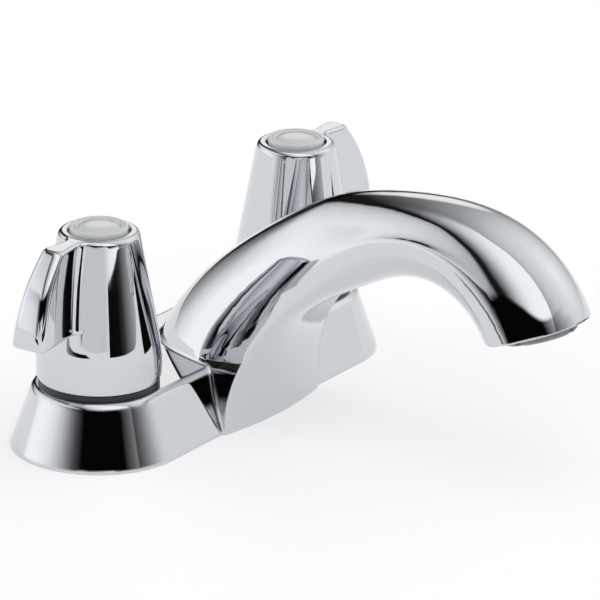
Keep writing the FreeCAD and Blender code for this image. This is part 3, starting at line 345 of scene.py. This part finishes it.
def chrome_plate(name, edge=None, rib=None):
    """Bright chrome over a casting. An edge radius in metres buffs edges that the mesh leaves sharp, and
    a rib radius takes its place low down at the back of the spout, where it joins the cover. On the
    spout's lower flank the normal is evened out over FLANK_RADIUS, because the loft is slightly wavy
    there and a mirror shows it. That changes the shading only, not the mesh."""
    made = principled(name, Base_Color=linear("cfd2d6"), Metallic=1.0, Roughness=0.03)
    tree = made.node_tree
    shader = tree.nodes["Principled BSDF"]
    place, split = object_place(tree)
    # a faint haze left by the polishing cloth, in patches of about a centimetre
    haze = add(tree, "ShaderNodeTexNoise", {"Vector": place, "Scale": 90.0, "Detail": 3.0}, out=0)
    rough = add(tree, "ShaderNodeMapRange", {0: haze, 1: 0.3, 2: 0.7, 3: 0.015, 4: 0.04})
    tree.links.new(rough, shader.inputs["Roughness"])
    if edge:
        low_down = add(tree, "ShaderNodeMapRange", {0: split[2], 1: 0.0205, 2: 0.0185})
        far_back = add(tree, "ShaderNodeMapRange", {0: split[1], 1: -0.0276, 2: -0.0256})
        joined = add(tree, "ShaderNodeMath", {0: low_down, 1: far_back}, operation="MULTIPLY")
        radius = add(tree, "ShaderNodeMapRange", {0: joined, 3: edge, 4: rib})
        flank = soft_band(tree, split[2], 0.024, 0.062, 0.002)
        ahead = soft_band(tree, split[1], -0.075, -0.030, 0.003)
        flank = add(tree, "ShaderNodeMath", {0: flank, 1: ahead}, operation="MULTIPLY")
        radius = add(tree, "ShaderNodeMapRange", {0: flank, 3: radius, 4: FLANK_RADIUS})
        rounded = add(tree, "ShaderNodeBevel", {"Radius": radius}, samples=8)
        tree.links.new(rounded, shader.inputs["Normal"])
    return made


casting_chrome = chrome_plate("bright_chrome_on_the_casting", EDGE_RADIUS, RIB_RADIUS)
handle_chrome = chrome_plate("bright_chrome_on_the_handles")
print("chrome nodes:", len(casting_chrome.node_tree.nodes))

# %% [markdown]
# ## What is under the chrome
# The body parts that nobody polishes are turned brass, drawn copper tube and plain steel. Each shows how
# it was made: fine rings from the lathe, a dull brown skin on drawn tube, a grey sheen on sheet steel.

# %% Turned brass, copper and steel
HALF_SPACING = 0.0508
THREAD_PITCH = 0.0018
THREAD_TOP, THREAD_FOOT = -0.0145, -0.0435


def turned_metal(name, bright, dull, ring_pitch, threaded=False):
    """A lathe-turned metal: rings of ring_pitch along Z in the gloss and relief, and stained patches."""
    made = principled(name, Metallic=1.0, Roughness=0.3)
    tree = made.node_tree
    shader = tree.nodes["Principled BSDF"]
    place, split = object_place(tree)
    stain = add(tree, "ShaderNodeTexNoise", {"Vector": place, "Scale": 160.0, "Detail": 5.0}, out=0)
    colour = shades(tree, stain, 0.0, 1.0, ((0.3, dull), (0.62, bright)))
    tree.links.new(colour, shader.inputs["Base Color"])
    rings = add(tree, "ShaderNodeMath", {0: split[2], 1: 2 * math.pi / ring_pitch}, operation="MULTIPLY")
    rings = add(tree, "ShaderNodeMath", {0: rings}, operation="SINE")
    rough = add(tree, "ShaderNodeMapRange", {0: rings, 1: -1.0, 2: 1.0, 3: 0.24, 4: 0.36})
    tree.links.new(rough, shader.inputs["Roughness"])
    relief = add(tree, "ShaderNodeBump", {"Strength": 0.25, "Distance": ring_pitch / 8, "Height": rings})
    if threaded:
        # a rolled pipe thread: one ridge per pitch, wound about each shank's own axis
        across = add(tree, "ShaderNodeMath", {0: split[0]}, operation="ABSOLUTE")
        across = add(tree, "ShaderNodeMath", {0: across, 1: HALF_SPACING}, operation="SUBTRACT")
        turn = add(tree, "ShaderNodeMath", {0: split[1], 1: across}, operation="ARCTAN2")
        turn = add(tree, "ShaderNodeMath", {0: turn, 1: 0.5 / math.pi}, operation="MULTIPLY")
        wound = add(tree, "ShaderNodeMath", {0: split[2], 1: 1.0 / THREAD_PITCH, 2: turn},
                    operation="MULTIPLY_ADD")
        ridge = add(tree, "ShaderNodeMath", {0: wound, 1: 0.5}, operation="PINGPONG")
        on_shank = soft_band(tree, split[2], THREAD_FOOT, THREAD_TOP, 0.0002)
        ridge = add(tree, "ShaderNodeMath", {0: ridge, 1: on_shank}, operation="MULTIPLY")
        relief = add(tree, "ShaderNodeBump",
                     {"Strength": 1.0, "Distance": 0.0016, "Height": ridge, "Normal": relief})
    tree.links.new(relief, shader.inputs["Normal"])
    return made


body_brass = turned_metal("turned_brass", "cfae62", "a98343", 0.0003, threaded=True)
steel = turned_metal("plain_stainless_steel", "c6c8ca", "9a9da0", 0.00025)
copper = turned_metal("drawn_copper_tube", "c98462", "8a5238", 0.004)
print("metals under the chrome:", body_brass.name, steel.name, copper.name)

# %% [markdown]
# ## Rubber and plastic
# The seals are moulded rubber, matt black with a little chalk bloom. The rings that the handles glide on
# are black acetal, smoother, with a soft sheen. The aerator is grey moulded plastic, and the index caps
# are clear acrylic.

# %% Rubber, acetal, aerator plastic and clear acrylic


def moulded(name, light_shade, dark_shade, rough_low, rough_high, grain):
    """A moulded polymer: blotches of two shades, gloss that varies with them, and a grain of this size."""
    made = principled(name, Roughness=rough_high)
    tree = made.node_tree
    shader = tree.nodes["Principled BSDF"]
    place, split = object_place(tree)
    blotch = add(tree, "ShaderNodeTexNoise", {"Vector": place, "Scale": 260.0, "Detail": 4.0}, out=0)
    colour = shades(tree, blotch, 0.0, 1.0, ((0.35, dark_shade), (0.65, light_shade)))
    tree.links.new(colour, shader.inputs["Base Color"])
    rough = add(tree, "ShaderNodeMapRange", {0: blotch, 1: 0.3, 2: 0.7, 3: rough_low, 4: rough_high})
    tree.links.new(rough, shader.inputs["Roughness"])
    fine = add(tree, "ShaderNodeTexNoise", {"Vector": place, "Scale": 1.0 / grain, "Detail": 2.0}, out=0)
    relief = add(tree, "ShaderNodeBump", {"Strength": 0.3, "Distance": grain / 10, "Height": fine})
    tree.links.new(relief, shader.inputs["Normal"])
    return made


rubber = moulded("black_rubber", "2b2b2c", "1a1a1b", 0.55, 0.75, 0.0004)
acetal = moulded("black_acetal", "161617", "0f0f10", 0.25, 0.38, 0.0006)
aerator_grey = moulded("grey_moulded_plastic", "8f9193", "7b7d7f", 0.35, 0.5, 0.0005)

# the caps in the photograph are pale, not see-through, so most of the light is scattered in the plastic
acrylic = principled("clear_acrylic", Base_Color=linear("f4f6f7"), Roughness=0.06, IOR=1.49,
                     Transmission_Weight=0.25)
tree = acrylic.node_tree
place, split = object_place(tree)
flow = add(tree, "ShaderNodeTexNoise", {"Vector": place, "Scale": 420.0, "Detail": 1.0}, out=0)
relief = add(tree, "ShaderNodeBump", {"Strength": 0.05, "Distance": 0.0002, "Height": flow})
tree.links.new(relief, tree.nodes["Principled BSDF"].inputs["Normal"])

# %% [markdown]
# ## Dress the frame
# A part's name without its side tells its material. The meshes of the frame are left as they are; only
# their material slots change.

# %% Give each part of the frame its material
FINISHES = {
    "spout_body": casting_chrome,
    "handle": handle_chrome,
    "valve_body": body_brass, "mixing_tee": body_brass, "stem": body_brass, "bonnet_nut": body_brass,
    "feed_tube": copper, "spout_tube": copper,
    "seat_spring": steel, "handle_screw": steel, "mounting_washer": steel,
    "aerator_washer": rubber, "valve_seat": rubber, "stem_oring": rubber,
    "deck_gasket": acetal, "trim_ring": acetal, "mounting_nut": acetal,
    "aerator_housing": aerator_grey, "aerator_insert": aerator_grey,
    "index_cap": acrylic,
}
for name, node in nodes.items():
    kind = name.removeprefix("hot_").removeprefix("cold_")
    node.data.materials.clear()
    node.data.materials.append(FINISHES[kind])
print("parts with a finish:", len(nodes))

# %% [markdown]
# ## Surfaces from rings
# Each new piece is a stack of closed rings with the same number of points, joined by quads. All points
# of a piece are worked out at once as one array.

# %% A skin over stacked rings
SHARP_FROM = 40.0


def skin(name, rings, body, material, turned_round):
    """A mesh over rings, an array of ring, point and x y z in metres about a handle's own axis. The first
    and last rings are closed with a face each. The piece stands on its inlet, the cold side's turned half
    round, and rides the body."""
    count, around = rings.shape[:2]
    points = rings.reshape(-1, 3).copy()
    if turned_round:
        points[:, :2] *= -1.0
    points[:, 0] += HALF_SPACING if turned_round else -HALF_SPACING
    ring, step = np.meshgrid(np.arange(count - 1), np.arange(around), indexing="ij")
    first = ring * around + step
    second = ring * around + (step + 1) % around
    quads = np.stack([first, second, second + around, first + around], axis=-1).reshape(-1, 4).tolist()
    quads.append(list(range(around - 1, -1, -1)))
    quads.append(list(range((count - 1) * around, count * around)))
    mesh = bpy.data.meshes.new(name)
    mesh.from_pydata(points.tolist(), [], quads)
    mesh.validate()
    mesh.shade_smooth()
    mesh.set_sharp_from_angle(angle=math.radians(SHARP_FROM))
    mesh.materials.append(material)
    made = bpy.data.objects.new(name, mesh)
    bpy.context.scene.collection.objects.link(made)
    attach(made, body)
    return made


def revolve(profile, steps=160):
    """Rings of a turned form from its outline of radius and height pairs in mm: each pair becomes a
    circle, x = r cos a and y = r sin a."""
    angle = np.arange(steps) * 2 * math.pi / steps
    profile = np.asarray(profile, float) / 1000
    rings = np.empty((len(profile), steps, 3))
    rings[..., 0] = profile[:, :1] * np.cos(angle)
    rings[..., 1] = profile[:, :1] * np.sin(angle)
    rings[..., 2] = profile[:, 1:]
    return rings


def arc(centre, radius, start, end, steps=8):
    """Points of a circle arc between two angles in degrees, as radius and height pairs."""
    angle = np.radians(np.linspace(start, end, steps))
    return [(centre[0] + radius * c, centre[1] + radius * s) for c, s in zip(np.cos(angle), np.sin(angle))]


# %% [markdown]
# ## The handles
# A zinc casting: a hollow cone over a bowed skirt, and one blade that grows out of it. The casting has no
# sharp edge, and a narrow hollow flute on each side leads from the blade into the cone. The flutes
# matter most to the look: they squeeze a wide stretch of the room into a thin line. The cone is turned
# from its outline, and the blade is a stack of level outlines, each made of tangent arcs.

# %% The handle cone
FOOT, TOP, SHOULDER = 21.3, 66.3, 34.5
LIP_RADIUS, SHOULDER_RADIUS, RIM_RADIUS = 18.3, 17.7, 12.1
SKIRT_BOW, RIM_ROUND, CONE_TOP = 48.7, 1.8, 65.1
RECESS_FLOOR, RECESS_RADIUS = 63.1, 9.0


def cone_at(height):
    """The cone's radius at a height, on the straight line from its shoulder to its rim."""
    return SHOULDER_RADIUS + (RIM_RADIUS - SHOULDER_RADIUS) * (height - SHOULDER) / (CONE_TOP - SHOULDER)


def skirt_outline(steps=14):
    """The bowed skirt from its lip to the shoulder: a circle arc through both."""
    low, high = np.array([LIP_RADIUS, FOOT]), np.array([SHOULDER_RADIUS, SHOULDER])
    chord = high - low
    length = np.linalg.norm(chord)
    inward = np.array([-chord[1], chord[0]]) / length
    centre = (low + high) / 2 + inward * math.sqrt(SKIRT_BOW ** 2 - length ** 2 / 4)
    start, end = (math.degrees(math.atan2(*(p - centre)[::-1])) for p in (low, high))
    return arc(centre, SKIRT_BOW, start, end, steps)


lean = math.degrees(math.atan2(SHOULDER_RADIUS - RIM_RADIUS, CONE_TOP - SHOULDER))
rim_centre = (cone_at(TOP - RIM_ROUND) - RIM_ROUND / math.cos(math.radians(lean)), TOP - RIM_ROUND)
cone_heights = np.linspace(SHOULDER + 1.5, TOP - RIM_ROUND - 0.5, 12)
knob = [(0.02, 46.3), (4.4, 46.3), (4.4, 33.5), (7.4, 33.5), (7.4, 60.4), (9.9, 60.4)]
knob += [(15.5, SHOULDER), (16.1, 26.0), (16.1, FOOT), (LIP_RADIUS - 0.3, FOOT)]
knob += skirt_outline()[1:]
knob += [(cone_at(height), height) for height in cone_heights]
knob += arc(rim_centre, RIM_ROUND, lean, 90.0, 10)
knob += arc((RECESS_RADIUS + 0.6, TOP - 0.6), 0.6, 90.0, 180.0, 5)
knob += [(RECESS_RADIUS, RECESS_FLOOR), (4.6, RECESS_FLOOR), (4.6, 58.5), (0.02, 58.5)]
for side, other in (("hot", False), ("cold", True)):
    made = skin(f"{side}_handle_cone", revolve(knob), f"{side}_control", handle_chrome, other)
    print(made.name, "faces", len(made.data.polygons))

# %% The blade, in level outlines
BLADE_FOOT, BLADE_TOP = 39.4, 66.2
BLADE_EDGE = [(39.4, 35.6), (45.0, 34.9), (50.5, 33.4), (56.0, 31.1), (61.0, 27.9), (65.4, 24.3),
              (66.2, 23.6)]
FLUTE, FLARE = 3.2, math.radians(8.0)
FOOT_ROUND, TOP_ROUND = 0.8, 1.1


def smooth_through(places, knots):
    """Values at these places on a smooth line through the knots, by cubic pieces whose slopes at each
    knot are those between its neighbours."""
    at, value = np.array(knots).T
    slope = np.gradient(value, at)
    piece = np.clip(np.searchsorted(at, places) - 1, 0, len(at) - 2)
    width = at[piece + 1] - at[piece]
    t = (places - at[piece]) / width
    return ((2 * t ** 3 - 3 * t ** 2 + 1) * value[piece] + (t ** 3 - 2 * t ** 2 + t) * width * slope[piece]
            + (3 * t ** 2 - 2 * t ** 3) * value[piece + 1] + (t ** 3 - t ** 2) * width * slope[piece + 1])


def blade_rings():
    """Level outlines of the blade in mm, pointing along -X. The outline of a level has a corner circle
    on each side of the blade's end, a side line that leans in by FLARE, and a flute circle tangent to
    that line and to the cone. Near the foot and the top all circles keep their centres and the outline
    is drawn in, which rounds those edges."""
    foot_turn = np.radians(np.linspace(0, 90, 7))[:-1]
    top_turn = np.radians(np.linspace(0, 90, 10))[1:]
    heights = np.concatenate([BLADE_FOOT + FOOT_ROUND * (1 - np.cos(foot_turn)),
                              np.linspace(BLADE_FOOT + FOOT_ROUND, BLADE_TOP - TOP_ROUND, 34),
                              BLADE_TOP - TOP_ROUND * (1 - np.sin(top_turn))])
    drawn_in = np.concatenate([FOOT_ROUND * (1 - np.sin(foot_turn)), np.zeros(34),
                               TOP_ROUND * (1 - np.cos(top_turn))])
    share = (heights - BLADE_FOOT) / (BLADE_TOP - BLADE_FOOT)
    reach = smooth_through(heights, BLADE_EDGE)
    half = 6.0 + (3.5 - 6.0) * share
    corner = 2.8 + (2.5 - 2.8) * share
    cone = cone_at(heights)
    normal = np.array([-math.sin(FLARE), math.cos(FLARE)])
    along = np.array([math.cos(FLARE), math.sin(FLARE)])
    knuckle = np.stack([reach - corner, half - corner], axis=1)
    out = knuckle @ normal + corner + FLUTE
    forth = np.sqrt((cone + FLUTE) ** 2 - out ** 2)
    flute = out[:, None] * normal + forth[:, None] * along
    touch = np.arctan2(flute[:, 1], flute[:, 0])
    sunk = cone - drawn_in - 0.03
    parts = []
    # inside the cone's skin, from further round to the touching point
    angle = touch[:, None] + np.linspace(0.35, 0.04, 5)
    parts.append(np.stack([sunk[:, None] * np.cos(angle), sunk[:, None] * np.sin(angle)], axis=2))
    # the flute, from the cone to the side line
    turn = np.linspace(0, 1, 22)
    start, end = touch + math.pi, math.atan2(-normal[1], -normal[0]) + 2 * math.pi
    angle = start[:, None] + (end - start)[:, None] * turn
    hollow = (FLUTE + drawn_in)[:, None]
    parts.append(np.stack([flute[:, :1] + hollow * np.cos(angle), flute[:, 1:] + hollow * np.sin(angle)],
                          axis=2))
    # the rounded corner, from the side line to the end
    angle = np.linspace(math.atan2(normal[1], normal[0]), math.radians(4.0), 14)
    round_end = (corner - drawn_in)[:, None]
    parts.append(np.stack([knuckle[:, :1] + round_end * np.cos(angle),
                           knuckle[:, 1:] + round_end * np.sin(angle)], axis=2))
    upper = np.concatenate(parts, axis=1)
    lower = upper[:, ::-1] * (1.0, -1.0)
    outline = np.concatenate([upper, lower], axis=1)
    rings = np.empty((*outline.shape[:2], 3))
    rings[..., 0] = -outline[..., 0]
    rings[..., 1] = outline[..., 1]
    rings[..., 2] = heights[:, None]
    return rings / 1000


for side, other in (("hot", False), ("cold", True)):
    made = skin(f"{side}_handle_blade", blade_rings(), f"{side}_control", handle_chrome, other)
    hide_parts(f"{side}_handle")
    print(made.name, "faces", len(made.data.polygons))

# %% [markdown]
# ## The index caps
# A clear acrylic button hides the screw. It has two raised rings and a low table in the middle, over a
# satin disc that carries the letter for hot or cold.

# %% Clear caps, satin discs and letters
CAP_RADIUS, CAP_TOP = 8.6, 68.1
cap = [(0.02, 64.9), (8.0, 64.9), (8.0, 63.2), (CAP_RADIUS, 63.2), (CAP_RADIUS, 66.6)]
cap += arc((CAP_RADIUS - 0.7, 67.0), 0.7, 0.0, 150.0, 8)
cap += arc((6.9, 67.1), 0.5, 30.0, 150.0, 6)
cap += [(6.1, 67.1), (5.7, 67.5), (5.2, 67.75), (3.0, 67.95), (0.02, 68.0)]
disc = [(0.02, 63.5), (7.8, 63.5), (7.9, 63.7), (7.9, 64.4), (7.7, 64.6), (0.02, 64.6)]
satin = moulded("satin_index_disc", "dcdddf", "cfd1d3", 0.3, 0.42, 0.0005)
letter_grey = moulded("grey_index_letter", "6d7074", "5c5f63", 0.35, 0.45, 0.0005)
for side, other, word in (("hot", False, "H"), ("cold", True, "C")):
    made = skin(f"{side}_clear_cap", revolve(cap, 96), f"{side}_control", acrylic, other)
    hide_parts(f"{side}_index_cap")
    skin(f"{side}_index_disc", revolve(disc, 96), f"{side}_control", satin, other)
    curve = bpy.data.curves.new(f"{side}_letter", "FONT")
    curve.body = word
    curve.size = 0.0062
    curve.extrude = 0.00008
    curve.align_x, curve.align_y = "CENTER", "CENTER"
    holder = bpy.data.objects.new(f"{side}_letter_curve", curve)
    bpy.context.scene.collection.objects.link(holder)
    mesh = bpy.data.meshes.new_from_object(holder)
    bpy.data.objects.remove(holder)
    mesh.transform(Matrix.Translation((HALF_SPACING if other else -HALF_SPACING, 0.0, 0.0647)))
    mesh.materials.clear()
    mesh.materials.append(letter_grey)
    letter = bpy.data.objects.new(f"{side}_index_letter", mesh)
    bpy.context.scene.collection.objects.link(letter)
    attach(letter, f"{side}_control")
    print(letter.name, "faces", len(mesh.polygons))
